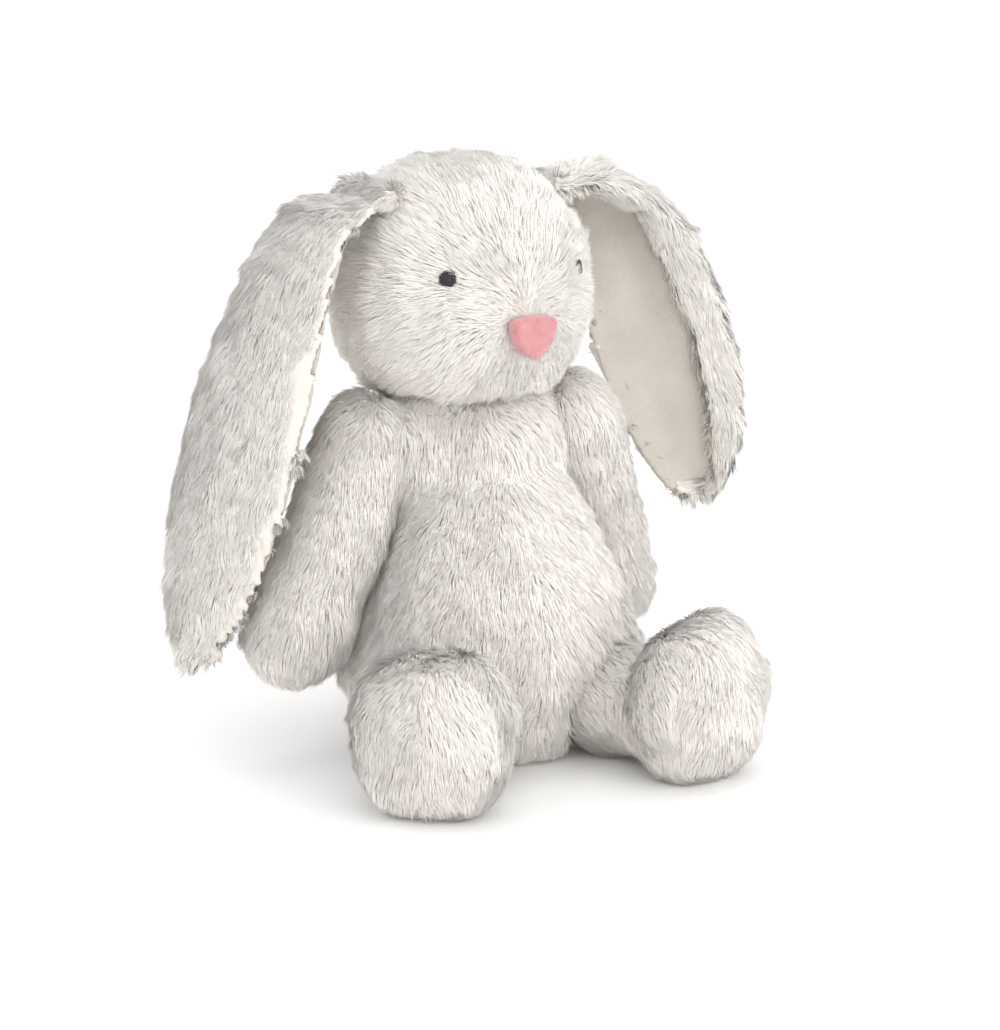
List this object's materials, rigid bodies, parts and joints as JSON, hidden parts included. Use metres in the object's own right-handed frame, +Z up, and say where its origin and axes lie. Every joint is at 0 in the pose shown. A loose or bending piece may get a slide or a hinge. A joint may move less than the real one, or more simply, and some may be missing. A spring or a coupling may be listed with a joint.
{
  "type": "stuffed bunny rabbit",
  "caption": "Seated stuffed bunny rabbit in long off-white plush, with draped lop ears, a pink velour nose, stitched eyes, a pear-shaped body and short padded arms and legs.",
  "frame": {"origin": "middle of the bounding box at the floor", "axes": "+X towards the bunny's left, -Y the way it faces, +Z up"},
  "size_m": [0.2608, 0.1882, 0.241],
  "materials": {
    "fur": "long-pile plush, warm off-white, pile 8 to 10 mm",
    "lining": "short-pile plush, cream",
    "velour": "short velour, blush pink",
    "thread": "satin-stitched embroidery thread, black",
    "fibre": "loose polyester fibre",
    "pellets": "plastic pellets in a cloth bag"
  },
  "bodies": {
    "torso": {"body_front_left": "fur", "body_front_right": "fur", "body_back_left": "fur", "body_back_right": "fur", "body_fill": "fibre", "bean_bag": "pellets", "tail_cover": "fur", "tail_fill": "fibre"},
    "neck": {"neck_fill": "fibre"},
    "head": {"head_gusset": "fur", "head_side_left": "fur", "head_side_right": "fur", "head_fill": "fibre", "eye_left": "thread", "eye_right": "thread", "nose": "velour"},
    "ear_left": {"ear_back_left": "fur", "ear_lining_left": "lining"},
    "ear_right": {"ear_back_right": "fur", "ear_lining_right": "lining"},
    "arm_left": {"arm_outer_left": "fur", "arm_inner_left": "fur", "arm_fill_left": "fibre"},
    "arm_right": {"arm_outer_right": "fur", "arm_inner_right": "fur", "arm_fill_right": "fibre"},
    "leg_left": {"leg_outer_left": "fur", "leg_inner_left": "fur", "sole_left": "fur", "leg_fill_left": "fibre"},
    "leg_right": {"leg_outer_right": "fur", "leg_inner_right": "fur", "sole_right": "fur", "leg_fill_right": "fibre"}
  },
  "joints": [
    {"name": "neck_turn", "type": "hinge", "parent": "torso", "child": "neck", "pos_m": [-0.00064, 0.02404, 0.116], "axis": [0, 0, 1], "range_deg": [-15, 15], "stiffness_Nm_per_rad": 0.5},
    {"name": "head_nod", "type": "hinge", "parent": "neck", "child": "head", "pos_m": [-0.00064, 0.02404, 0.116], "axis": [0.9962, 0.0872, 0], "range_deg": [-6, 10], "stiffness_Nm_per_rad": 1.5},
    {"name": "ear_swing_left", "type": "hinge", "parent": "head", "child": "ear_left", "pos_m": [0.03798, 0.04157, 0.226], "axis": [0.2924, -0.9563, 0], "range_deg": [0, 60]},
    {"name": "ear_swing_right", "type": "hinge", "parent": "head", "child": "ear_right", "pos_m": [-0.04172, 0.0346, 0.226], "axis": [-0.1564, 0.9877, 0], "range_deg": [0, 60]},
    {"name": "arm_swing_left", "type": "hinge", "parent": "torso", "child": "arm_left", "pos_m": [0.04636, 0.02591, 0.127], "axis": [-0.9272, 0, -0.3746], "range_deg": [-8, 80]},
    {"name": "arm_swing_right", "type": "hinge", "parent": "torso", "child": "arm_right", "pos_m": [-0.04764, 0.02591, 0.127], "axis": [-0.9063, 0, 0.4226], "range_deg": [-8, 80]},
    {"name": "leg_lift_left", "type": "hinge", "parent": "torso", "child": "leg_left", "pos_m": [0.03436, -0.02986, 0.024], "axis": [-0.9397, -0.342, 0], "range_deg": [0, 20]},
    {"name": "leg_lift_right", "type": "hinge", "parent": "torso", "child": "leg_right", "pos_m": [-0.03564, -0.02986, 0.024], "axis": [-0.7431, 0.6691, 0], "range_deg": [0, 20]}
  ]
}
